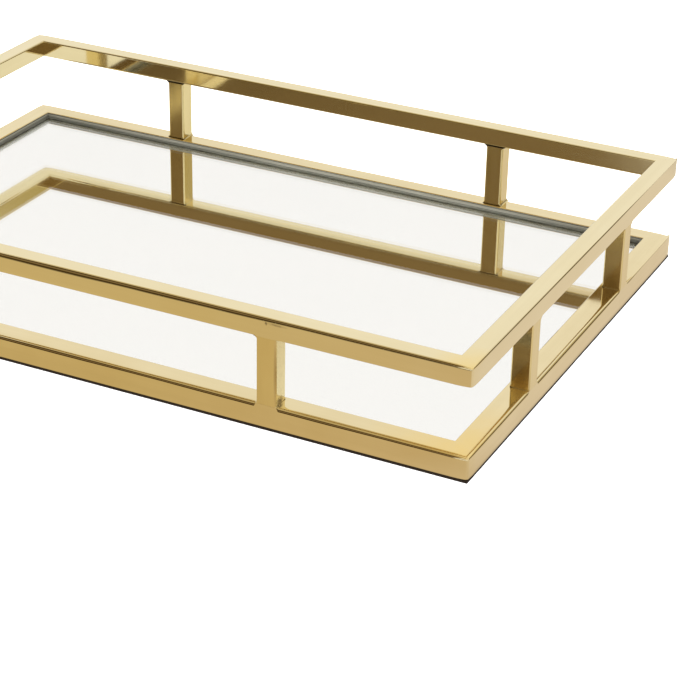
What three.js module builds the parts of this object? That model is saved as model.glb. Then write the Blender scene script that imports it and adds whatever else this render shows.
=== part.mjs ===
// A rectangular vanity tray: a sunken mirror in a low frame of square tube, with a gallery
// rail held above the frame on short posts. Millimetres, +Z up, the front long side at -Y.
// The origin is on the surface that the tray stands on, under its centre.
import * as THREE from "three";

// Driving sizes
const trayLength = 452;
const trayDepth = 305;
const trayHeight = 64.5;
const baseTube = 13.4; // outer side of the square tube of the lower frame
const baseCorner = 2; // outer corner radius of that tube
const galleryTube = 11.3; // outer side of the square tube of the top rail and the posts
const galleryCorner = 1;
const tubeWall = 0.8;
const longSidePost = 113; // from each end of a long side to the middle of its post
const shortSidePost = 84; // from each end of a short side to the middle of its post
const feltThickness = 1.4;
const feltInset = 0.3; // how far the felt stays back from the faces of the tube
const glassThickness = 3;
const glassRecess = 3.4; // from the top of the lower frame down to the glass
const glassClearance = 0.6; // between the edge of the glass and the tube
const silverThickness = 0.3;
const silverInset = 1; // the silvering stops short of the edge of the glass
const boardThickness = 3;
const ledgeWidth = 10;
const ledgeThickness = 1.5;

// Sizes that follow from them
const baseTop = feltThickness + baseTube;
const galleryBottom = trayHeight - galleryTube;
const glassTop = baseTop - glassRecess;
const glassBottom = glassTop - glassThickness;
const boardTop = glassBottom - silverThickness;
const boardBottom = boardTop - boardThickness;
const innerLength = trayLength - 2 * baseTube;
const innerDepth = trayDepth - 2 * baseTube;
const glassLength = innerLength - 2 * glassClearance;
const glassDepth = innerDepth - 2 * glassClearance;

// The four sides of the tray: where each one faces, how long it is, how far it is from the
// middle, and what the posts at its two ends are called.
const sides = [
  { name: "front", out: new THREE.Vector3(0, -1, 0), length: trayLength, reach: trayDepth / 2 },
  { name: "rear", out: new THREE.Vector3(0, 1, 0), length: trayLength, reach: trayDepth / 2 },
  { name: "left", out: new THREE.Vector3(-1, 0, 0), length: trayDepth, reach: trayLength / 2 },
  { name: "right", out: new THREE.Vector3(1, 0, 0), length: trayDepth, reach: trayLength / 2 },
];
const isLong = (side) => side.out.x === 0;

const gold = { color: 0xd8b878, roughness: 0.16, metalness: 1 };
const glass = { color: 0xe4efe8, roughness: 0.03, metalness: 0, transparent: true, opacity: 0.35 };
const silver = { color: 0xf3f3f0, roughness: 0.02, metalness: 1 };
const hardboard = { color: 0x4a3b2c, roughness: 0.85, metalness: 0 };
const felt = { color: 0x0c0a09, roughness: 1, metalness: 0 };

const tray = new THREE.Group();

function addMesh(name, geometry, finish) {
  const mesh = new THREE.Mesh(geometry, new THREE.MeshStandardMaterial(finish));
  mesh.name = name;
  tray.add(mesh);
  return mesh;
}

// A square with rounded corners, drawn about its centre.
function roundedSquare(path, size, radius) {
  const half = size / 2;
  const inset = half - radius;
  path.moveTo(inset, -half);
  path.absarc(inset, -inset, radius, -Math.PI / 2, 0, false);
  path.absarc(inset, inset, radius, 0, Math.PI / 2, false);
  path.absarc(-inset, inset, radius, Math.PI / 2, Math.PI, false);
  path.absarc(-inset, -inset, radius, Math.PI, 1.5 * Math.PI, false);
  path.closePath();
  return path;
}

// A hollow square tube along its own Z axis, open at both ends.
function squareTube(size, corner, length) {
  const section = roundedSquare(new THREE.Shape(), size, corner);
  const bore = roundedSquare(new THREE.Path(), size - 2 * tubeWall, corner - tubeWall);
  section.holes.push(bore);
  const geometry = new THREE.ExtrudeGeometry(section, {
    depth: length,
    bevelEnabled: false,
    curveSegments: 4,
  });
  geometry.translate(0, 0, -length / 2);
  return geometry;
}

// Cuts both ends of a tube at 45 degrees, leaving the outer face (its own +X) at full length.
function mitre(geometry, size) {
  const position = geometry.attributes.position;
  for (let i = 0; i < position.count; i += 1) {
    const fromOuterFace = size / 2 - position.getX(i);
    const end = Math.sign(position.getZ(i));
    position.setZ(i, position.getZ(i) - end * fromOuterFace);
  }
  geometry.computeVertexNormals();
  return geometry;
}

// One mitred rail of a rectangular frame. The tube's own X turns to face outwards.
function addRail(name, side, size, corner, centreHeight) {
  const rail = addMesh(name, mitre(squareTube(size, corner, side.length), size), gold);
  const up = new THREE.Vector3(0, 0, 1);
  const along = new THREE.Vector3().crossVectors(side.out, up);
  rail.quaternion.setFromRotationMatrix(new THREE.Matrix4().makeBasis(side.out, up, along));
  rail.position.copy(side.out).multiplyScalar(side.reach - size / 2);
  rail.position.z = centreHeight;
}

// A flat bar along one side. Its outer edge is at the given distance from the middle.
function addBar(name, side, length, outerEdge, width, bottom, thickness, finish) {
  const size = isLong(side) ? [length, width, thickness] : [width, length, thickness];
  const bar = addMesh(name, new THREE.BoxGeometry(...size), finish);
  bar.position.copy(side.out).multiplyScalar(outerEdge - width / 2);
  bar.position.z = bottom + thickness / 2;
}

// A flat plate over the middle of the tray.
function addPlate(name, length, depth, bottom, thickness, finish) {
  const plate = addMesh(name, new THREE.BoxGeometry(length, depth, thickness), finish);
  plate.position.z = bottom + thickness / 2;
}

function addPost(name, x, y) {
  const tube = squareTube(galleryTube, galleryCorner, galleryBottom - baseTop);
  const post = addMesh(name, tube, gold);
  post.position.set(x, y, (baseTop + galleryBottom) / 2);
}

// The two posts of one side, flush with the outer faces of both frames.
function addPosts(side) {
  const fromEnd = isLong(side) ? longSidePost : shortSidePost;
  const endNames = isLong(side) ? ["left", "right"] : ["front", "rear"];
  const along = side.length / 2 - fromEnd;
  const across = side.reach - galleryTube / 2;
  endNames.forEach((endName, index) => {
    const shift = index === 0 ? -along : along;
    const x = isLong(side) ? shift : side.out.x * across;
    const y = isLong(side) ? side.out.y * across : shift;
    addPost(`post_${side.name}_${endName}`, x, y);
  });
}

// Felt under the lower frame. The strips of the short sides fit between the long ones.
function addFelt(side) {
  const width = baseTube - 2 * feltInset;
  const endGap = isLong(side) ? feltInset : baseTube;
  const length = side.length - 2 * endGap;
  addBar(`felt_${side.name}`, side, length, side.reach - feltInset, width, 0, feltThickness, felt);
}

// A ledge on the inner face of the lower frame, under the edge of the backing board.
function addLedge(side) {
  const length = isLong(side) ? innerLength : innerDepth - 2 * ledgeWidth;
  const outerEdge = side.reach - baseTube;
  const bottom = boardBottom - ledgeThickness;
  addBar(`ledge_${side.name}`, side, length, outerEdge, ledgeWidth, bottom, ledgeThickness, gold);
}

const baseMiddle = feltThickness + baseTube / 2;
const galleryMiddle = trayHeight - galleryTube / 2;
for (const side of sides) {
  addFelt(side);
  addRail(`base_rail_${side.name}`, side, baseTube, baseCorner, baseMiddle);
  addLedge(side);
  addPosts(side);
  addRail(`top_rail_${side.name}`, side, galleryTube, galleryCorner, galleryMiddle);
}

addPlate("backing_board", glassLength, glassDepth, boardBottom, boardThickness, hardboard);
addPlate(
  "mirror_silvering",
  glassLength - 2 * silverInset,
  glassDepth - 2 * silverInset,
  boardTop,
  silverThickness,
  silver,
);
addPlate("mirror_glass", glassLength, glassDepth, glassBottom, glassThickness, glass);

export default tray;
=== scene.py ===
import math

import bmesh
import bpy
from mathutils import Matrix, Vector, noise


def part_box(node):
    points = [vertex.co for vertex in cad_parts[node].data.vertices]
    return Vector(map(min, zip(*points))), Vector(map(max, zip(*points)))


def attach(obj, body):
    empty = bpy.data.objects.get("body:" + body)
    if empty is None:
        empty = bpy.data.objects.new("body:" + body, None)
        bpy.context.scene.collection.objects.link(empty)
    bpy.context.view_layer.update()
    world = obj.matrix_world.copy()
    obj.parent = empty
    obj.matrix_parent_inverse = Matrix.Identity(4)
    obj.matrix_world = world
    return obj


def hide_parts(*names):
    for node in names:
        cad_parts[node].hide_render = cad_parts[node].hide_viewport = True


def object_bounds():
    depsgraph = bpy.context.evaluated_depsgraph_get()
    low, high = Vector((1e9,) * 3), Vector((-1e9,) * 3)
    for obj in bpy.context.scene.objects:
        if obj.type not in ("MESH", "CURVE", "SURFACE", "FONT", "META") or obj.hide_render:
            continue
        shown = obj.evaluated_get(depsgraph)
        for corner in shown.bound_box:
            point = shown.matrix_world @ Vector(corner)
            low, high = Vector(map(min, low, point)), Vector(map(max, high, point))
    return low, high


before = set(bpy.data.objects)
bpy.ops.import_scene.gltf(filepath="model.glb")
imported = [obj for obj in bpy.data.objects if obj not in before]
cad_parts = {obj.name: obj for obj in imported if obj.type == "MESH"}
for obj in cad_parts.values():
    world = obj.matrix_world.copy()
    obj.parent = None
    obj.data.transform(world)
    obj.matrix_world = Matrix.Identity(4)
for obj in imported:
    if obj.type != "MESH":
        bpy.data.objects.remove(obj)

MM = 0.001
CAD_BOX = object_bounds()
SCENE = bpy.context.scene
UP = Vector((0, 0, 1))

# ---------------------------------------------------------------- sizes, from the CAD nodes


def node_size(node):
    low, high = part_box(node)
    return Vector(high) - Vector(low)


def node_middle(node):
    low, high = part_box(node)
    return (Vector(high) + Vector(low)) / 2


HALF_LENGTH, HALF_DEPTH = CAD_BOX[1][:2]
BASE_TUBE = node_size("base_rail_front").y
TOP_TUBE = node_size("top_rail_front").y
BASE_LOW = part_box("base_rail_front")[0][2]
BASE_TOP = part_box("base_rail_front")[1][2]
TOP_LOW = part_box("top_rail_front")[0][2]
TOP_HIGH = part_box("top_rail_front")[1][2]
# how far the posts are from the middle of their side
POST_PLACES = {"long": node_middle("post_front_right").x, "short": node_middle("post_right_rear").y}

# Finishing sizes that the CAD leaves plain
CORNER_BEND = 1.8 * MM  # vertical corner edges of the frames, ground after welding
POST_EDGE = 1.35 * MM  # rounding of the upright edges of the posts
WAVE = 0.03 * MM  # height of the slow waves that polishing leaves
WAVE_LENGTH = 34 * MM
GRIND = 0.5 * MM  # how far the mitred corners are ground down
GRIND_REACH = 9 * MM

# Painted reflection lines, dark and pale, along the wall above the mirror: (depth below the frame's top
# in mm, half width, colour)
PAINTED_RECESS_LINES = (
    (0.95, 0.35, (0.03, 0.028, 0.018)),
    (1.6, 0.35, (0.62, 0.6, 0.48)),
    (3.1, 0.4, (0.12, 0.12, 0.1)),
)

# The rolled-over outer top edges: (tilt of the surface in degrees, radius there in mm)
BASE_ROLL = ((8, 9.0), (45, 3.4), (91, 2.0))
TOP_ROLL = ((8, 3.0), (45, 1.1), (91, 2.4))

# Radii of the other edges: outer bottom, inner bottom and inner top
BASE_EDGES = (0.9 * MM, 0.9 * MM, 0.8 * MM)
TOP_EDGES = (0.8 * MM, 1.5 * MM, 1.1 * MM)

SIDES = {
    "front": Vector((0, -1, 0)),
    "rear": Vector((0, 1, 0)),
    "left": Vector((-1, 0, 0)),
    "right": Vector((1, 0, 0)),
}

# ---------------------------------------------------------------- node material helpers


class Nodes:
    """Builds one material's node tree with short calls."""

    def __init__(self, name):
        self.material = bpy.data.materials.new(name)
        self.material.use_nodes = True
        self.tree = self.material.node_tree
        self.tree.nodes.clear()
        self.output = self.add("ShaderNodeOutputMaterial")

    def add(self, kind, inputs=None, **settings):
        node = self.tree.nodes.new(kind)
        for key, value in settings.items():
            setattr(node, key, value)
        for key, value in (inputs or {}).items():
            self.feed(node.inputs[key], value)
        return node

    def feed(self, socket, value):
        if isinstance(value, bpy.types.NodeSocket):
            self.tree.links.new(value, socket)
        elif isinstance(value, bpy.types.Node):
            self.tree.links.new(value.outputs[0], socket)
        else:
            socket.default_value = value

    def place(self, scale=(1, 1, 1)):
        """Object coordinates, stretched."""
        where = self.add("ShaderNodeTexCoord").outputs["Object"]
        return self.add("ShaderNodeMapping", {"Vector": where, "Scale": scale})

    def noise(self, where, scale, detail=3, roughness=0.5):
        values = {"Vector": where, "Scale": scale, "Detail": detail, "Roughness": roughness}
        return self.add("ShaderNodeTexNoise", values).outputs["Fac"]

    def ramp(self, value, low, high, to_low, to_high):
        values = {0: value, 1: low, 2: high, 3: to_low, 4: to_high}
        return self.add("ShaderNodeMapRange", values).outputs[0]

    def blend(self, amount, first, second):
        node = self.add("ShaderNodeMix", data_type="RGBA")
        self.feed(node.inputs[0], amount)
        self.feed(node.inputs[6], first)
        self.feed(node.inputs[7], second)
        return node.outputs[2]

    def math(self, operation, first, second=0.0):
        return self.add("ShaderNodeMath", {0: first, 1: second}, operation=operation).outputs[0]

    def bump(self, height, strength, distance, normal=None):
        values = {"Height": height, "Strength": strength, "Distance": distance}
        if normal:
            values["Normal"] = normal
        return self.add("ShaderNodeBump", values).outputs[0]

    def surface(self, shader):
        self.tree.links.new(shader.outputs[0], self.output.inputs["Surface"])
        return self.material


# ---------------------------------------------------------------- materials


DARK_BLOT = (0.16, 0.085, 0.025, 1)
SEAM = (0.075, 0.045, 0.018, 1)
SHADE = (0.03, 0.028, 0.02, 1)
# Painted shade on the wall above the mirror, in a darker and a lighter grey
RECESS_SHADE_DARK, RECESS_SHADE_LIGHT = (0.4, 0.395, 0.32, 1), (0.64, 0.63, 0.53, 1)
# Painted shade along the wall round the mirror: where it is lightest, and how far off it darkens
WALL_PALEST = 20 * MM  # where along the tray the wall round the mirror is palest
WALL_DARKENS = (50 * MM, 200 * MM)  # how far from there it starts and stops getting darker
BROAD_MARK = 8.5  # marks this wide or wider are soft dark blots, narrower ones are frayed spots
# Painted warm highlight on the upper faces near the front right corner
WARM_HIGHLIGHT = (1.02, 0.9, 0.6)  # tint of the upper faces at the front right corner
WARM_HIGHLIGHT_REACH = {"top": (3 * MM, 24 * MM), "base": (9 * MM, 60 * MM)}


def mark_mask(n, where, marks):
    """Soft blots, given as (centre, radii, strength) with the places and radii in millimetres."""
    total = None
    for centre, radii, strength in marks:
        values = {0: where, 1: Vector(centre) * MM}
        offset = n.add("ShaderNodeVectorMath", values, operation="SUBTRACT").outputs[0]
        scale = Vector([1 / (radius * MM) for radius in radii])
        scaled = n.add("ShaderNodeVectorMath", {0: offset, 1: scale}, operation="MULTIPLY").outputs[0]
        length = n.add("ShaderNodeVectorMath", {0: scaled}, operation="LENGTH").outputs["Value"]
        blot = n.ramp(length, 1.0, 0.25, 0.0, strength)
        total = blot if total is None else n.math("MAXIMUM", total, blot)
    return total


def end_shade(n, where):
    """Painted shade: the wall round the mirror gets darker towards both ends of the tray."""
    x = n.add("ShaderNodeSeparateXYZ", {"Vector": where}).outputs[0]
    from_palest = n.math("ABSOLUTE", n.math("SUBTRACT", x, WALL_PALEST))
    return n.ramp(from_palest, *WALL_DARKENS, 0.0, 0.5)


def warm_highlight_mask(n, where, level):
    """Painted warm highlight on the upper face of a rail near the front right corner."""
    corner = (HALF_LENGTH, -HALF_DEPTH, {"top": TOP_HIGH, "base": BASE_TOP}[level])
    offset = n.add("ShaderNodeVectorMath", {0: where, 1: corner}, operation="SUBTRACT").outputs[0]
    length = n.add("ShaderNodeVectorMath", {0: offset}, operation="LENGTH").outputs["Value"]
    height = n.add("ShaderNodeSeparateXYZ", {"Vector": offset}).outputs[2]
    near = n.ramp(length, WARM_HIGHLIGHT_REACH[level][1], WARM_HIGHLIGHT_REACH[level][0], 0.0, 1.0)
    ragged = n.ramp(n.noise(where, 120, 3, 0.5), 0.25, 0.6, 0.7, 1.0)
    upper = n.ramp(height, -1.6 * MM, -0.5 * MM, 0.0, 1.0)
    return n.math("MULTIPLY", n.math("MULTIPLY", near, ragged), upper)


def recess_painted_shade(n, where, lines):
    """Painted shade and reflections on the wall above the mirror: grey, crossed by painted dark and
    pale lines.
    """
    mottle = n.noise(lines, 320, 3, 0.6)
    grey = n.blend(n.ramp(mottle, 0.35, 0.65, 0, 1), RECESS_SHADE_DARK, RECESS_SHADE_LIGHT)
    grey = n.blend(end_shade(n, where), grey, SHADE)
    height = n.add("ShaderNodeSeparateXYZ", {"Vector": where}).outputs[2]
    for depth, half_width, shade in PAINTED_RECESS_LINES:
        off = n.math("ABSOLUTE", n.math("SUBTRACT", height, BASE_TOP - depth * MM))
        grey = n.blend(n.ramp(off, half_width * MM, 0.0, 0.0, 0.85), grey, (*shade, 1))
    return grey


def gold_material(name, grain, light, deep, marks=(), satin=0.0, level=None):
    """Polished gold plating. The polishing lines run along the axis with the small scale.

    Where a level is given, the upper face gets a painted warm highlight near the front right corner.
    """
    n = Nodes(name)
    where = n.place()
    lines = n.place(grain)
    cloud = n.noise(where, 26, 4, 0.55)
    fine = n.noise(lines, 900, 4, 0.65)
    streak = n.noise(lines, 160, 3, 0.6)
    tone = n.blend(n.ramp(cloud, 0.35, 0.65, 0, 1), (*light, 1), (*deep, 1))
    tarnish = tuple(value * 0.93 for value in deep)
    colour = n.blend(n.ramp(streak, 0.35, 0.7, 0, 0.5), tone, (*tarnish, 1))
    if level:
        # Painted highlight: a warmer tint on the upper faces near the front right corner
        colour = n.blend(warm_highlight_mask(n, where, level), colour, (*(a * b for a, b in zip(light, WARM_HIGHLIGHT)), 1))
    # Where the attribute marks the wall above the mirror, the finish is duller and less metallic, and
    # the colour is painted shade with painted reflection lines
    dull_and_shade = n.add("ShaderNodeAttribute", attribute_name="dull_and_shade").outputs["Fac"]
    seam = n.add("ShaderNodeAttribute", attribute_name="seam").outputs["Fac"]
    colour = n.blend(dull_and_shade, colour, recess_painted_shade(n, where, lines))
    small = [mark for mark in marks if max(mark[1]) < BROAD_MARK]
    broad = [mark for mark in marks if max(mark[1]) >= BROAD_MARK]
    if small:
        frayed = n.noise(where, 700, 3, 0.6)
        spots = n.math("MULTIPLY", mark_mask(n, where, small), n.ramp(frayed, 0.3, 0.55, 0.25, 1))
        seam = n.math("MAXIMUM", seam, spots)
    if broad:
        # Soft dark blots over one face of a post
        colour = n.blend(mark_mask(n, where, broad), colour, DARK_BLOT)
    colour = n.blend(seam, colour, SEAM)
    rough = n.math("ADD", n.ramp(streak, 0.3, 0.7, 0.035, 0.075), n.ramp(cloud, 0.4, 0.7, 0, 0.025))
    rough = n.math("ADD", rough, n.ramp(dull_and_shade, 0, 1, satin, 0.42))
    rough = n.math("ADD", rough, n.ramp(seam, 0, 1, 0, 0.3))
    wave = n.bump(n.noise(where, 60, 2, 0.4), 0.05, 0.4 * MM)
    relief = n.bump(fine, 0.05, 0.02 * MM, wave)
    metallic = n.ramp(dull_and_shade, 0, 1, 1.0, 0.25)
    values = {"Base Color": colour, "Metallic": metallic, "Roughness": rough, "Normal": relief}
    return n.surface(n.add("ShaderNodeBsdfPrincipled", values))


def glass_material():
    n = Nodes("float_glass")
    cloud = n.noise(n.place(), 9, 3, 0.5)
    values = {
        "Base Color": (1, 1, 1, 1),
        "Roughness": n.ramp(cloud, 0.45, 0.75, 0.0, 0.01),
        "IOR": 1.52,
        "Transmission Weight": 1.0,
    }
    shader = n.add("ShaderNodeBsdfPrincipled", values)
    tint = n.add("ShaderNodeVolumeAbsorption", {"Color": (0.72, 0.92, 0.8, 1), "Density": 5.0})
    n.tree.links.new(tint.outputs[0], n.output.inputs["Volume"])
    return n.surface(shader)


def glass_edge_material():
    """The ground edge of the pane: frosted and grey-green, with fine grinding lines."""
    n = Nodes("ground_glass_edge")
    where = n.place((1, 1, 14))
    grit = n.noise(where, 900, 4, 0.7)
    band = n.noise(n.place((0.15, 0.15, 1)), 260, 3, 0.6)
    colour = n.blend(n.ramp(band, 0.35, 0.65, 0, 1), (0.42, 0.43, 0.36, 1), (0.66, 0.67, 0.57, 1))
    colour = n.blend(n.ramp(grit, 0.5, 0.7, 0, 0.5), colour, (0.5, 0.54, 0.45, 1))
    # Painted shade: the ground edge darkens towards both ends of the tray, like the wall above it
    colour = n.blend(end_shade(n, n.place()), colour, (0.03, 0.03, 0.022, 1))
    relief = n.bump(grit, 0.4, 0.05 * MM)
    values = {"Base Color": colour, "Roughness": n.ramp(grit, 0.3, 0.7, 0.35, 0.55), "Normal": relief}
    return n.surface(n.add("ShaderNodeBsdfPrincipled", values))


def silver_material():
    """Silvering, grey in a narrow ragged line along the rear and the left edges."""
    n = Nodes("silvering")
    where = n.place()
    cloud = n.noise(where, 14, 4, 0.6)
    colour = n.blend(n.ramp(cloud, 0.3, 0.7, 0, 1), (0.975, 0.965, 0.95, 1), (0.965, 0.96, 0.945, 1))
    split = n.add("ShaderNodeSeparateXYZ", {"Vector": where})
    low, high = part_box("mirror_silvering")
    from_x = n.math("SUBTRACT", split.outputs[0], low[0])
    from_y = n.math("SUBTRACT", high[1], split.outputs[1])
    ragged = n.math("MULTIPLY", n.noise(where, 240, 4, 0.6), 1.4 * MM)
    margin = n.math("SUBTRACT", n.math("MINIMUM", from_x, from_y), ragged)
    grey_edge = n.ramp(margin, 0.8 * MM, 4.6 * MM, 1.0, 0.0)
    colour = n.blend(grey_edge, colour, (0.72, 0.74, 0.66, 1))
    rough = n.math("ADD", n.ramp(cloud, 0.4, 0.8, 0, 0.006), n.ramp(grey_edge, 0, 1, 0, 0.3))
    values = {"Base Color": colour, "Metallic": 1.0, "Roughness": rough}
    return n.surface(n.add("ShaderNodeBsdfPrincipled", values))


def felt_material():
    n = Nodes("black_felt")
    where = n.place()
    fibres = n.noise(where, 2600, 5, 0.7)
    tufts = n.noise(where, 420, 3, 0.6)
    colour = n.blend(n.ramp(fibres, 0.35, 0.7, 0, 1), (0.009, 0.005, 0.003, 1), (0.03, 0.018, 0.011, 1))
    relief = n.bump(fibres, 0.6, 0.12 * MM, n.bump(tufts, 0.4, 0.3 * MM))
    values = {
        "Base Color": colour,
        "Roughness": n.ramp(tufts, 0.3, 0.7, 0.88, 1.0),
        "Specular IOR Level": 0.08,
        "Sheen Weight": 0.04,
        "Sheen Roughness": 0.6,
        "Normal": relief,
    }
    return n.surface(n.add("ShaderNodeBsdfPrincipled", values))


def board_material():
    """Tempered hardboard: dark brown pressed fibre with lighter flecks."""
    n = Nodes("hardboard")
    where = n.place()
    fibre = n.noise(n.place((1, 2.6, 1)), 520, 6, 0.7)
    cloud = n.noise(where, 16, 4, 0.6)
    fleck = n.add("ShaderNodeTexVoronoi", {"Vector": where, "Scale": 420}).outputs["Distance"]
    base = n.blend(n.ramp(cloud, 0.3, 0.7, 0, 1), (0.055, 0.032, 0.018, 1), (0.085, 0.05, 0.028, 1))
    colour = n.blend(n.ramp(fibre, 0.5, 0.75, 0, 0.7), base, (0.16, 0.1, 0.06, 1))
    colour = n.blend(n.ramp(fleck, 0.0, 0.22, 0.5, 0), colour, (0.2, 0.135, 0.08, 1))
    relief = n.bump(fibre, 0.35, 0.08 * MM)
    values = {"Base Color": colour, "Roughness": n.ramp(fibre, 0.3, 0.7, 0.55, 0.8), "Normal": relief}
    return n.surface(n.add("ShaderNodeBsdfPrincipled", values))


def floor_material():
    """A pale sweep, lit evenly enough that the tray leaves almost no shadow on it."""
    n = Nodes("studio_floor")
    cloud = n.noise(n.place(), 2.0, 3, 0.5)
    colour = n.blend(cloud, (0.84, 0.84, 0.835, 1), (0.86, 0.86, 0.855, 1))
    values = {
        "Base Color": colour,
        "Roughness": 0.9,
        "Specular IOR Level": 0.1,
        "Emission Color": (1, 1, 1, 1),
        "Emission Strength": 0.72,
    }
    return n.surface(n.add("ShaderNodeBsdfPrincipled", values))


# Dark marks, in millimetres in the tray's frame: small spots left by welding and handling, and a few
# wide soft blots that darken one face of a post over much of its height
LONG_MARKS = (
    ((119.0, -152.5, 52.9), (0.7, 2, 0.7), 1.0),
    ((119.4, -152.5, 15.3), (1.1, 2, 0.7), 1.0),
    ((106.2, -152.5, 15.7), (0.8, 2, 0.6), 0.7),
    ((113.0, -152.5, 61.4), (0.9, 2, 1.3), 0.8),
    ((118.5, -152.5, 61.7), (7.5, 2, 0.9), 0.45),
    ((-118.9, -152.5, 53.0), (0.8, 2, 0.7), 0.9),
    ((-107.0, -152.5, 15.5), (1.0, 2, 0.6), 0.8),
    ((107.2, 152.5, 53.0), (0.7, 2, 0.8), 0.9),
    ((-119.0, 152.5, 15.4), (0.9, 2, 0.7), 0.8),
)
SHORT_MARKS = (
    ((226.0, -62.8, 53.0), (2, 0.7, 0.7), 0.9),
    ((226.0, 62.9, 15.5), (2, 0.9, 0.6), 0.8),
    ((221.5, 82.0, 14.8), (0.5, 2.6, 1), 0.7),
    ((-226.0, 62.6, 52.9), (2, 0.8, 0.7), 0.9),
    ((-226.0, -74.2, 15.5), (2, 0.9, 0.6), 0.8),
)
POST_MARKS = (
    ((220.3, -74.2, 15.0), (8.5, 1.3, 19.0), 0.6),
    ((220.3, 62.8, 15.0), (8.5, 1.3, 16.0), 0.45),
    ((118.5, -152.2, 34.0), (1.3, 1.7, 21.0), 0.4),
    ((118.7, -148.2, 16.3), (1.2, 4.6, 3.4), 0.85),
    ((-118.6, -147.0, 52.0), (1, 3.5, 2.2), 0.6),
    ((107.4, 148.0, 15.7), (1, 3.5, 1.8), 0.6),
)

# One gold plating in three copies, lightest on the top frame, darker on the base frame and darkest on
# the posts: painted light and shade
TOP_LIGHT, TOP_DEEP = (0.87, 0.765, 0.485), (0.85, 0.735, 0.45)
BASE_LIGHT, BASE_DEEP = (0.84, 0.715, 0.43), (0.8, 0.67, 0.385)
POST_LIGHT, POST_DEEP = (0.83, 0.7, 0.37), (0.8, 0.66, 0.34)

GOLD = {
    ("top", "long"): gold_material(
        "gold_top_long", (0.03, 1, 1), TOP_LIGHT, TOP_DEEP, LONG_MARKS, level="top"
    ),
    ("top", "short"): gold_material(
        "gold_top_short", (1, 0.03, 1), TOP_LIGHT, TOP_DEEP, SHORT_MARKS, level="top"
    ),
    ("base", "long"): gold_material(
        "gold_base_long", (0.03, 1, 1), BASE_LIGHT, BASE_DEEP, LONG_MARKS, level="base"
    ),
    ("base", "short"): gold_material(
        "gold_base_short", (1, 0.03, 1), BASE_LIGHT, BASE_DEEP, SHORT_MARKS, level="base"
    ),
    "post": gold_material("gold_post", (1, 1, 0.06), POST_LIGHT, POST_DEEP, POST_MARKS, 0.09),
}
GLASS = glass_material()
GLASS_EDGE = glass_edge_material()
SILVER = silver_material()
FELT = felt_material()
BOARD = board_material()

# ---------------------------------------------------------------- mesh helpers


def smooth_step(low, high, value):
    t = min(max((value - low) / (high - low), 0.0), 1.0)
    return t * t * (3 - 2 * t)


def wave_height(point):
    """Height of the polished surface above its true plane, always at or below zero."""
    slow = noise.noise(point / WAVE_LENGTH)
    quick = noise.noise(point / (WAVE_LENGTH * 0.3) + Vector((7, 3, 5)))
    corner = Vector((HALF_LENGTH - abs(point.x), HALF_DEPTH - abs(point.y)))
    near = max(1 - corner.length / GRIND_REACH, 0.0)
    return WAVE * (slow + 0.35 * quick - 1.3) * 0.5 - GRIND * near * near


def wave_normal(point, normal):
    """The surface normal where wave_height has moved the surface along it."""
    step = 0.5 * MM
    slope = Vector()
    for axis in (Vector((1, 0, 0)), Vector((0, 1, 0)), Vector((0, 0, 1))):
        rise = wave_height(point + axis * step) - wave_height(point - axis * step)
        slope += axis * (rise / (2 * step))
    slope -= normal * slope.dot(normal)
    return (normal - slope).normalized()


def link(mesh, name, materials):
    piece = bpy.data.objects.new(name, mesh)
    SCENE.collection.objects.link(piece)
    for material in materials:
        mesh.materials.append(material)
    return piece


def grid_piece(name, rows, material):
    """A tube-like solid from rows of (point, normal, dull, seam), one row per ring.

    The ends are capped. Points that fall together are merged, and every face corner keeps the
    normal it was given, so that pieces which meet look like one ground surface.
    """
    mesh = bpy.data.meshes.new(name)
    count = len(rows[0])
    points = []
    normals = []
    looks = []
    index = {}
    lookup = []
    for row in rows:
        line = []
        for point, normal, *look in row:
            key = tuple(round(value * 1e7) for value in point)
            if key not in index:
                index[key] = len(points)
                points.append(point)
                normals.append(normal)
                looks.append(look)
            line.append(index[key])
        lookup.append(line)
    faces = []
    for first, second in zip(lookup, lookup[1:]):
        for i in range(count):
            j = (i + 1) % count
            ring = []
            for vertex in (first[i], first[j], second[j], second[i]):
                if vertex not in ring:
                    ring.append(vertex)
            if len(ring) > 2:
                faces.append(ring)
    sides = len(faces)
    faces.append(list(reversed(lookup[0])))
    faces.append(list(lookup[-1]))
    mesh.from_pydata(points, [], faces)
    mesh.update()
    corner_normals = []
    for polygon in mesh.polygons:
        polygon.use_smooth = polygon.index < sides
        for vertex in polygon.vertices:
            flat = polygon.index >= sides
            corner_normals.append(polygon.normal.copy() if flat else normals[vertex])
    mesh.normals_split_custom_set(corner_normals)
    for column, title in enumerate(("dull_and_shade", "seam")):
        layer = mesh.attributes.new(title, "FLOAT", "POINT")
        for item, look in zip(layer.data, looks):
            item.value = look[column]
    return link(mesh, name, [material])


def broad_normals(mesh):
    """Smooths the worked edges of a piece but leaves its large faces optically flat."""
    sums = [Vector() for _ in mesh.vertices]
    for polygon in mesh.polygons:
        for vertex in polygon.vertices:
            sums[vertex] += polygon.normal * polygon.area
    for polygon in mesh.polygons:
        polygon.use_smooth = True
    mesh.normals_split_custom_set_from_vertices([total.normalized() for total in sums])


# ---------------------------------------------------------------- square tube, rails and posts


def round_edge(radius, steps=7):
    """A plain rounded edge: (reach along each face, [(away, up, tilt)]) from face to face."""
    arc = []
    for k in range(steps + 1):
        tilt = math.radians(90 * k / steps)
        arc.append((radius * (1 - math.cos(tilt)), radius * math.sin(tilt), tilt))
    return radius, radius, arc


def rolled_edge(table, scale, steps=30):
    """An edge that rolls over slowly at first, from the outer face (tilt 0) up to the top."""
    inset = rise = 0.0
    arc = [(0.0, 0.0, 0.0)]
    step = math.radians(90 / steps)
    for k in range(steps):
        tilt = (k + 0.5) * step
        from_top = 90 - math.degrees(tilt)
        radius = next(value for limit, value in table if from_top < limit) * scale * MM
        inset += radius * math.sin(tilt) * step
        rise += radius * math.cos(tilt) * step
        if k % 2:
            arc.append((inset, rise, tilt + step / 2))
    return inset, rise, arc


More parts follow.
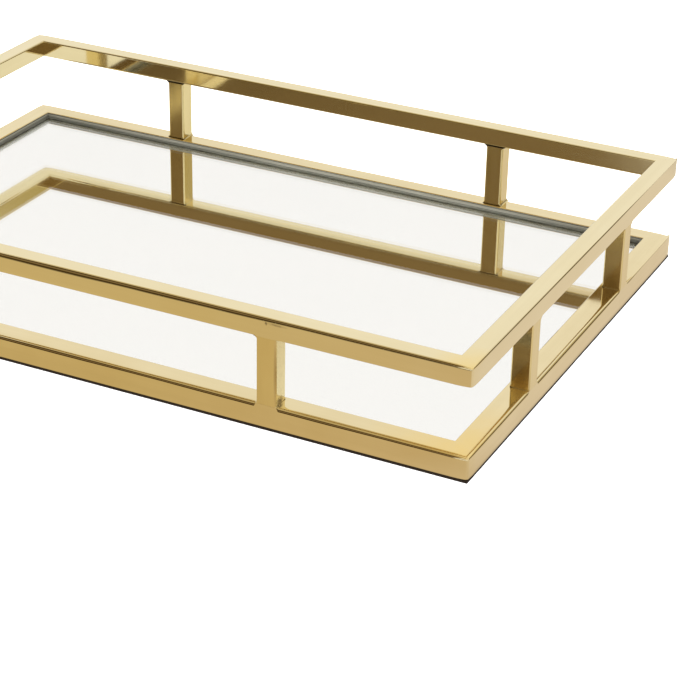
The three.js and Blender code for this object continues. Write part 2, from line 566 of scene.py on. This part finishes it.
def square_section(size, radii, roll, flat_steps=4):
    """One loop of (inset, height, normal inset, normal height) round a square tube.

    Inset runs from the outer face inwards and height from the underside up. The radii are
    those of the outer bottom, inner bottom and inner top edges; roll is the outer top edge.
    """
    loop = []
    corners = ((0, 0, 180), (1, 0, 270), (1, 1, 0))
    for (inner, up, start), radius in zip(corners, radii):
        middle = (size - radius if inner else radius, size - radius if up else radius)
        arc = []
        for k in range(8):
            angle = math.radians(start + 90 * k / 7)
            c, s = math.cos(angle), math.sin(angle)
            arc.append((middle[0] + radius * c, middle[1] + radius * s, c, s))
        loop.append(arc)
    inset, rise, arc = roll
    rolled = []
    for away, up, tilt in reversed(arc):
        rolled.append((away, size - rise + up, -math.cos(tilt), math.sin(tilt)))
    loop.append(rolled)
    points = []
    for i, arc in enumerate(loop):
        points += arc
        start, end = Vector(arc[-1]), Vector(loop[(i + 1) % 4][0])
        for k in range(1, flat_steps):
            points.append(tuple(start.lerp(end, k / flat_steps)))
    return points


def blend_at_posts(place, posts, half_width, low):
    """1 along a plain part of a rail, falling to a small value where a post is welded flush."""
    share = 1.0
    for post in posts:
        away = abs(place - post)
        share = min(share, smooth_step(half_width + 0.1 * MM, half_width + 1.5 * MM, away))
    return low + (1 - low) * share


def stations(half, posts, width):
    """Places along a rail, close together at the posts and the corners."""
    places = {-half, half}
    step = 4 * MM
    count = int(2 * half / step)
    places |= {-half + 2 * half * k / count for k in range(count + 1)}
    for end in (-half, half):
        places |= {end - math.copysign(k * 0.7 * MM, end) for k in range(1, 16)}
    for post in posts:
        for edge in (post - width / 2, post + width / 2):
            places |= {edge + k * 0.25 * MM for k in range(-2, 9)}
            places |= {edge - k * 0.25 * MM for k in range(-2, 9)}
    ordered = sorted(place for place in places if abs(place) <= half)
    kept = [ordered[0]]
    for place in ordered[1:-1]:
        if place - kept[-1] > 0.2 * MM:
            kept.append(place)
    return kept + [ordered[-1]]


EDGE_DRIFT = 40 * MM  # the length over which the worn edges change
RIGHT_EDGES = {"top": 0.55, "base": 0.85}  # the right side's edges are sharper
SHARP_FROM, SHARP_TO = 25 * MM, 115 * MM  # and get sharper still towards the rear
FRONT_WEAR, FRONT_WEAR_DROP, FRONT_WEAR_REACH = 1.4, 0.45, 170 * MM


def edge_scale(level, side, place):
    """How the rolled edges vary along a rail, more worn where they were polished longer."""
    vary = 1 + 0.16 * noise.noise(Vector((place / EDGE_DRIFT, len(side) * 3.7, len(level) * 5.1)))
    if level == "top" and side == "front":
        vary *= FRONT_WEAR - FRONT_WEAR_DROP * smooth_step(0, FRONT_WEAR_REACH, abs(place))
    if side == "right":
        vary *= RIGHT_EDGES[level]
        vary *= 1 - 0.9 * smooth_step(SHARP_FROM, SHARP_TO, place)
    return vary


CORNER_STEPS = 5  # rings round half of a frame's corner
MITRE_REACH = 6 * MM  # how far from the mitre the rings start to lean towards it


def rail_route(half, posts):
    """The rings of a rail, as (place along it, angle round the corner at that end)."""
    full = half - CORNER_BEND
    angles = [math.radians(45 * k / CORNER_STEPS) for k in range(1, CORNER_STEPS + 1)]
    route = [(-full, -angle) for angle in reversed(angles)]
    route += [(place, 0.0) for place in stations(full, posts, TOP_TUBE)]
    return route + [(full, angle) for angle in angles]


def mitred_place(place, inset, half, size):
    """Where along a rail a point at an inset goes: rings near the ends lean over to the mitre."""
    straight_to = half - size - MITRE_REACH
    if abs(place) <= straight_to:
        return place
    run = half - inset - max(CORNER_BEND - inset, 0.0)
    share = (abs(place) - straight_to) / (half - CORNER_BEND - straight_to)
    return math.copysign(straight_to + (run - straight_to) * share, place)


def rail_piece(level, side, size, low, roll, radii):
    """One straight side of a frame with half of each ground corner, swept from end to end."""
    node = f"{level}_rail_{side}"
    out = SIDES[side]
    along = UP.cross(out)
    kind = "long" if out.x == 0 else "short"
    half, reach = (HALF_LENGTH, HALF_DEPTH) if kind == "long" else (HALF_DEPTH, HALF_LENGTH)
    posts = (-POST_PLACES[kind], POST_PLACES[kind])
    rows = []
    for place, turn in rail_route(half, posts):
        flush = blend_at_posts(place, posts, TOP_TUBE / 2, 0.02)
        worn = edge_scale(level, side, place)
        if level == "base":
            section = square_section(size, radii, rolled_edge(roll, worn * flush))
        else:
            under = (radii[0] * flush, *radii[1:])
            section = square_section(size, under, rolled_edge(roll, worn))
        across = along * math.sin(turn) + out * math.cos(turn)
        row = []
        for inset, height, normal_in, normal_up in section:
            radius = max(CORNER_BEND - inset, 0.0)
            where = mitred_place(place, inset, half, size)
            point = along * where + out * (reach - inset - radius) + across * radius
            point.z = low + height
            facing = across if inset < CORNER_BEND else out
            normal = (facing * -normal_in + UP * normal_up).normalized()
            # The inner wall above the mirror gets a duller finish and painted shade
            inner = inset > size - radii[2] * 0.5 and level == "base"
            dull_and_shade = 1.0 if inner and height < size - radii[2] * 0.6 else 0.0
            row.append((point + normal * wave_height(point), wave_normal(point, normal), dull_and_shade, 0.0))
        rows.append(row)
    piece = grid_piece(f"polished_{node}", rows, GOLD[level, kind])
    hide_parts(node)
    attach(piece, "root")
    return piece


def flare(distance, radius):
    """Sideways reach and slope of a concave weld fillet at a distance from the joint."""
    if distance >= radius or radius <= 0:
        return 0.0, 0.0
    rest = max(radius - distance, 0.0)
    height = math.sqrt(max(radius * radius - rest * rest, 0.0))
    return radius - height, min(rest / max(height, radius * 0.12), 3.0)


POST_ENDS = (0, 0.12, 0.25, 0.4, 0.6, 0.8, 1.05, 1.35, 1.7, 2.2, 3.0)  # rings near each joint, in mm
SEAM_DEPTH = 0.12 * MM  # of the line where a post meets a frame on its inner side


def post_piece(node, fillets):
    """A post between the frames. Its outer face is ground flush with both of them.

    The fillets are the weld radii at the bottom and the top, each on both sides.
    """
    low, high = (Vector(corner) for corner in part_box(node))
    out = SIDES[node.split("_")[1]]
    along = UP.cross(out)
    size = TOP_TUBE
    outer = (low + high) / 2 + out * (size / 2)
    outer.z = 0
    height = high.z - low.z
    levels = [value * MM for value in POST_ENDS] + [height * k / 12 for k in range(1, 12)]
    levels += [height - value * MM for value in POST_ENDS]
    rows = []
    for z in sorted(set(levels)):
        row = []
        to_end = min(z, height - z)
        edge = POST_EDGE * (0.3 + 0.7 * smooth_step(0, 1.8 * MM, to_end))
        groove = smooth_step(0.5 * MM, 0.25 * MM, to_end)
        section = square_section(size, (edge * 0.7, edge, edge), round_edge(edge * 1.2))
        for inset, shift, normal_in, normal_along in section:
            side = 1 if shift > size / 2 else 0
            low_reach, low_slope = flare(z, fillets[0][side])
            high_reach, high_slope = flare(height - z, fillets[1][side])
            lateral = (shift - size / 2) * 2 / size
            sideways = (low_reach + high_reach) * lateral
            slope = (low_slope - high_slope) * abs(normal_along)
            cut = SEAM_DEPTH * groove * smooth_step(0.6 * MM, 2 * MM, inset)
            point = outer - out * inset + along * (shift - size / 2 + sideways)
            point.z = low.z + z
            normal = (out * -normal_in + along * normal_along + UP * slope).normalized()
            seam = groove * (0.12 + 0.88 * smooth_step(size - 2 * MM, size - 0.5 * MM, inset))
            seam *= smooth_step(0.6 * MM, 2 * MM, inset)
            shell = wave_height(point) - cut
            row.append((point + normal * shell, wave_normal(point, normal), 0.0, seam))
        rows.append(row)
    rows = [list(reversed(row)) for row in rows]
    piece = grid_piece(f"polished_{node}", rows, GOLD["post"])
    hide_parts(node)
    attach(piece, "root")
    return piece


def fix_winding(piece):
    """Turns the faces of a piece outwards if its section was walked the other way."""
    mesh = piece.data
    work = bmesh.new()
    work.from_mesh(mesh)
    if work.calc_volume(signed=True) < 0:
        normals = [corner.vector.copy() for corner in mesh.corner_normals]
        starts = [(p.loop_start, p.loop_total) for p in mesh.polygons]
        mesh.flip_normals()
        turned = []
        for start, total in starts:
            ring = normals[start:start + total]
            turned += [ring[0]] + list(reversed(ring[1:]))
        mesh.normals_split_custom_set(turned)
    work.free()


def weld_sizes(index, node):
    """Fillet radii of a post: bottom left and right, then top left and right. No two are alike."""
    sizes = [0.5 + 0.9 * abs(math.sin(index * 2.3 + k * 1.7)) for k in range(4)]
    if node == "post_front_right":
        sizes = [0.35, 0.2, 1.7, 0.3]
    if node.startswith("post_right"):
        sizes[:2] = [0.12, 0.12]
    return [value * MM for value in sizes]


def make_frames():
    for side in SIDES:
        fix_winding(rail_piece("base", side, BASE_TUBE, BASE_LOW, BASE_ROLL, BASE_EDGES))
        fix_winding(rail_piece("top", side, TOP_TUBE, TOP_LOW, TOP_ROLL, TOP_EDGES))
    posts = sorted(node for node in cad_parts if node.startswith("post_"))
    for index, node in enumerate(posts):
        sizes = weld_sizes(index, node)
        fix_winding(post_piece(node, (sizes[:2], sizes[2:])))


# ---------------------------------------------------------------- flat pieces


def slab_piece(name, node, bevel, segments, material, cuts=(1, 1), wobble=0.0, sink=0.0):
    """A flat bar or pane in the place of a CAD node, with worked edges.

    Its top face can sink into the piece above, so that the two share no air gap.
    """
    low, high = (Vector(corner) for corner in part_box(node))
    high.z += sink
    size = high - low
    work = bmesh.new()
    bmesh.ops.create_cube(work, size=1.0)
    bmesh.ops.transform(work, matrix=Matrix.Diagonal((*size, 1.0)), verts=work.verts)
    edges = list(work.edges)
    bmesh.ops.bevel(
        work, geom=edges, offset=bevel, segments=segments, profile=0.5, affect="EDGES"
    )
    for axis, count in enumerate(cuts):
        for k in range(1, count):
            place = Vector()
            place[axis] = size[axis] * (k / count - 0.5)
            direction = Vector()
            direction[axis] = 1
            geometry = list(work.verts) + list(work.edges) + list(work.faces)
            bmesh.ops.bisect_plane(work, geom=geometry, plane_co=place, plane_no=direction)
    centre = (low + high) / 2
    for vertex in work.verts:
        vertex.co += centre
        if wobble:
            inward = (centre - vertex.co).normalized()
            vertex.co += inward * wobble * (0.5 + 0.5 * noise.noise(vertex.co / (3 * MM)))
    mesh = bpy.data.meshes.new(name)
    work.to_mesh(mesh)
    work.free()
    materials = material if isinstance(material, list) else [material]
    piece = link(mesh, name, materials)
    if len(materials) > 1:
        for polygon in mesh.polygons:
            polygon.material_index = int(abs(polygon.normal.z) < 0.35)
    broad_normals(mesh)
    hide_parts(node)
    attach(piece, "root")
    return piece


def make_panes():
    slab_piece("clear_pane", "mirror_glass", 0.45 * MM, 2, [GLASS, GLASS_EDGE])
    slab_piece("silver_coat", "mirror_silvering", 0.05 * MM, 1, SILVER, sink=0.04 * MM)
    slab_piece("hardboard_back", "backing_board", 0.5 * MM, 2, BOARD)
    for side, out in SIDES.items():
        long = out.x == 0
        gold = GOLD["base", "long" if long else "short"]
        slab_piece(f"flat_{side}_ledge", f"ledge_{side}", 0.3 * MM, 2, gold)
        cuts = (110, 3) if long else (3, 70)
        felt = f"felt_{side}"
        slab_piece(f"soft_{felt}", felt, 0.3 * MM, 2, FELT, cuts, 0.12 * MM)


# ---------------------------------------------------------------- studio


def emission(name, colour, cover=False):
    n = Nodes(name)
    glow = n.add("ShaderNodeEmission", {"Color": (*colour, 1), "Strength": 1.0})
    if cover:
        amount = n.add("ShaderNodeAttribute", attribute_name="cover").outputs["Fac"]
        clear = n.add("ShaderNodeBsdfTransparent")
        mixed = n.add("ShaderNodeMixShader", {0: amount, 1: clear.outputs[0], 2: glow.outputs[0]})
        n.surface(mixed)
    else:
        n.surface(glow)
    n.material.cycles.emission_sampling = "NONE"
    return n.material


def grid_mesh(name, segments, half_size, height=0.0):
    """A flat square sheet, cut into segments, at a height over the standing surface."""
    mesh = bpy.data.meshes.new(name)
    work = bmesh.new()
    bmesh.ops.create_grid(work, x_segments=segments, y_segments=segments, size=half_size)
    bmesh.ops.translate(work, verts=work.verts, vec=(0, 0, height))
    work.to_mesh(mesh)
    work.free()
    return mesh


def only_in_reflections(item):
    item.visible_camera = False
    item.visible_diffuse = False
    item.visible_shadow = False
    item.visible_volume_scatter = False


def direction(azimuth, elevation):
    """Azimuth 0 is +Y and 90 is +X, in degrees; elevation is above the horizon."""
    a, e = math.radians(azimuth), math.radians(elevation)
    return Vector((math.sin(a) * math.cos(e), math.cos(a) * math.cos(e), math.sin(e)))


def sky_card(name, azimuths, elevations, radius, colour, fade=(0.0, 0.0)):
    """A curved card that is seen only in reflections, with soft edges where a fade is given."""
    steps_a, steps_e = 36, 18
    points, faces, cover = [], [], []
    for j in range(steps_e + 1):
        elevation = elevations[0] + (elevations[1] - elevations[0]) * j / steps_e
        for i in range(steps_a + 1):
            azimuth = azimuths[0] + (azimuths[1] - azimuths[0]) * i / steps_a
            points.append(direction(azimuth, elevation) * radius)
            edge_a = min(azimuth - azimuths[0], azimuths[1] - azimuth)
            edge_e = min(elevation - elevations[0], elevations[1] - elevation)
            share_a = smooth_step(-0.001, max(fade[0], 0.001), edge_a)
            share_e = smooth_step(-0.001, max(fade[1], 0.001), edge_e)
            cover.append(share_a * share_e)
    for j in range(steps_e):
        for i in range(steps_a):
            a = j * (steps_a + 1) + i
            faces.append((a, a + 1, a + steps_a + 2, a + steps_a + 1))
    mesh = bpy.data.meshes.new(name)
    mesh.from_pydata(points, [], faces)
    layer = mesh.attributes.new("cover", "FLOAT", "POINT")
    for item, value in zip(layer.data, cover):
        item.value = value
    for polygon in mesh.polygons:
        polygon.use_smooth = True
    only_in_reflections(link(mesh, name, [emission(name, colour, cover=True)]))


BROWN, DARK = (0.23, 0.163, 0.083), (0.06, 0.036, 0.008)

# Cards seen only in reflections:
# (name, azimuths in degrees, elevations, distance in metres, colour, fade at the sides and ends)
CARDS = (
    ("flag_front", (192, 244), (-14, 58), 3.6, BROWN, (5, 3)),
    ("flag_front_low", (192, 244), (-14, 22), 3.4, DARK, (5, 5)),
    ("flag_front_high", (192, 244), (36, 52), 3.4, DARK, (5, 5)),
    ("ceiling_front", (180, 335), (54, 74), 3.5, (0.59, 0.48, 0.265), (14, 3)),
    ("flag_front_side", (176, 200), (20, 36), 3.5, BROWN, (5, 5)),
    ("flag_between", (139, 152), (15, 31), 3.5, BROWN, (3, 4)),
    ("near_corner", (148, 190), (32, 62), 3.7, (0.85, 0.73, 0.42), (6, 6)),
    ("flag_right_low", (20, 80), (-16, 19), 3.4, (0.1, 0.065, 0.025), (5, 4)),
    ("flag_right_mid", (20, 80), (16, 28), 3.3, (0.5, 0.42, 0.2), (5, 4)),
    ("flag_right_slit", (-15, 20), (31, 42), 3.4, (0.8, 0.77, 0.72), (4, 3)),
)


def make_studio():
    world = bpy.data.worlds.new("studio")
    SCENE.world = world
    world.use_nodes = True
    background = world.node_tree.nodes["Background"]
    background.inputs["Color"].default_value = (1, 1, 1, 1)
    background.inputs["Strength"].default_value = 1.35

    link(grid_mesh("floor", 8, 6.0), "floor", [floor_material()])

    light = bpy.data.lights.new("overhead", "AREA")
    light.shape = "RECTANGLE"
    light.size, light.size_y = 2.4, 2.0
    light.energy = 30
    lamp = bpy.data.objects.new("overhead", light)
    lamp.location = (0.1, 0.3, 2.2)
    lamp.visible_glossy = False
    lamp.visible_transmission = False
    SCENE.collection.objects.link(lamp)

    dome = bpy.data.meshes.new("dome")
    work = bmesh.new()
    bmesh.ops.create_icosphere(work, subdivisions=5, radius=4.5)
    work.to_mesh(dome)
    work.free()
    only_in_reflections(link(dome, "dome", [emission("dome", (0.985, 0.972, 0.953))]))

    ground = grid_mesh("ground_card", 2, 3.0, 0.15 * MM)
    only_in_reflections(link(ground, "ground_card", [ground_material()]))

    for card in CARDS:
        sky_card(*card)


def ground_material():
    """Bounce card round the tray, glowing and seen only in reflections: warm in front, paler at the
    right, almost white behind. Its glow is dimmed as painted shade near the tray's edges.
    """
    n = Nodes("ground_card")
    where = n.add("ShaderNodeTexCoord").outputs["Object"]
    split = n.add("ShaderNodeSeparateXYZ", {"Vector": where})
    x, y = split.outputs[0], split.outputs[1]
    past_x = n.math("SUBTRACT", n.math("ABSOLUTE", x), HALF_LENGTH)
    past_y = n.math("SUBTRACT", n.math("ABSOLUTE", y), HALF_DEPTH)
    pale, right = (0.92, 0.9, 0.82, 1), (0.8, 0.72, 0.63, 1)
    front = n.blend(n.ramp(x, 0.02, 0.2, 0, 1), (0.66, 0.53, 0.3, 1), (0.66, 0.53, 0.35, 1))
    along_y = n.blend(n.ramp(y, -0.05, 0.05, 0, 1), front, pale)
    along_x = n.blend(n.ramp(x, -0.05, 0.05, 0, 1), pale, right)
    lean = n.math("ADD", n.math("SUBTRACT", past_x, past_y), n.ramp(y, 0.0, 0.1, 0.0, 0.2))
    to_side = n.ramp(lean, -0.05, 0.05, 0, 1)
    colour = n.blend(to_side, along_y, along_x)
    distance = n.math("MAXIMUM", past_x, past_y)
    # Painted shade where the card meets the tray: the glow is dimmer within 2.5 mm of it
    contact_shade = n.ramp(distance, 0.0, 2.5 * MM, 0.45, 1.0)
    far = n.ramp(distance, 0.12, 0.34, 1.0, 0.25)
    strength = n.math("MULTIPLY", contact_shade, far)
    glow = n.add("ShaderNodeEmission", {"Color": colour, "Strength": strength})
    n.surface(glow)
    n.material.cycles.emission_sampling = "NONE"
    return n.material


LENS = 109.99
EYE_PLACE = Vector((567.1, -993.9, 541.5)) * MM
EYE_ACROSS = Vector((0.89534, 0.44492, 0.02046))  # the picture's rightward direction
EYE_BACK = Vector((0.38687, -0.79965, 0.45922))  # from the tray to the camera


def make_camera():
    """From the right of the front, looking down on the near corner."""
    camera = bpy.data.cameras.new("camera")
    camera.lens = LENS
    camera.sensor_width = 36
    camera.clip_end = 50
    eye = bpy.data.objects.new("camera", camera)
    above = EYE_BACK.cross(EYE_ACROSS).normalized()
    turn = Matrix((EYE_ACROSS.normalized(), above, EYE_BACK.normalized())).transposed()
    eye.matrix_world = Matrix.Translation(EYE_PLACE) @ turn.to_4x4()
    SCENE.collection.objects.link(eye)
    SCENE.camera = eye


make_frames()
make_panes()
make_studio()
make_camera()
SCENE.view_settings.view_transform = "Standard"
SCENE.view_settings.look = "None"
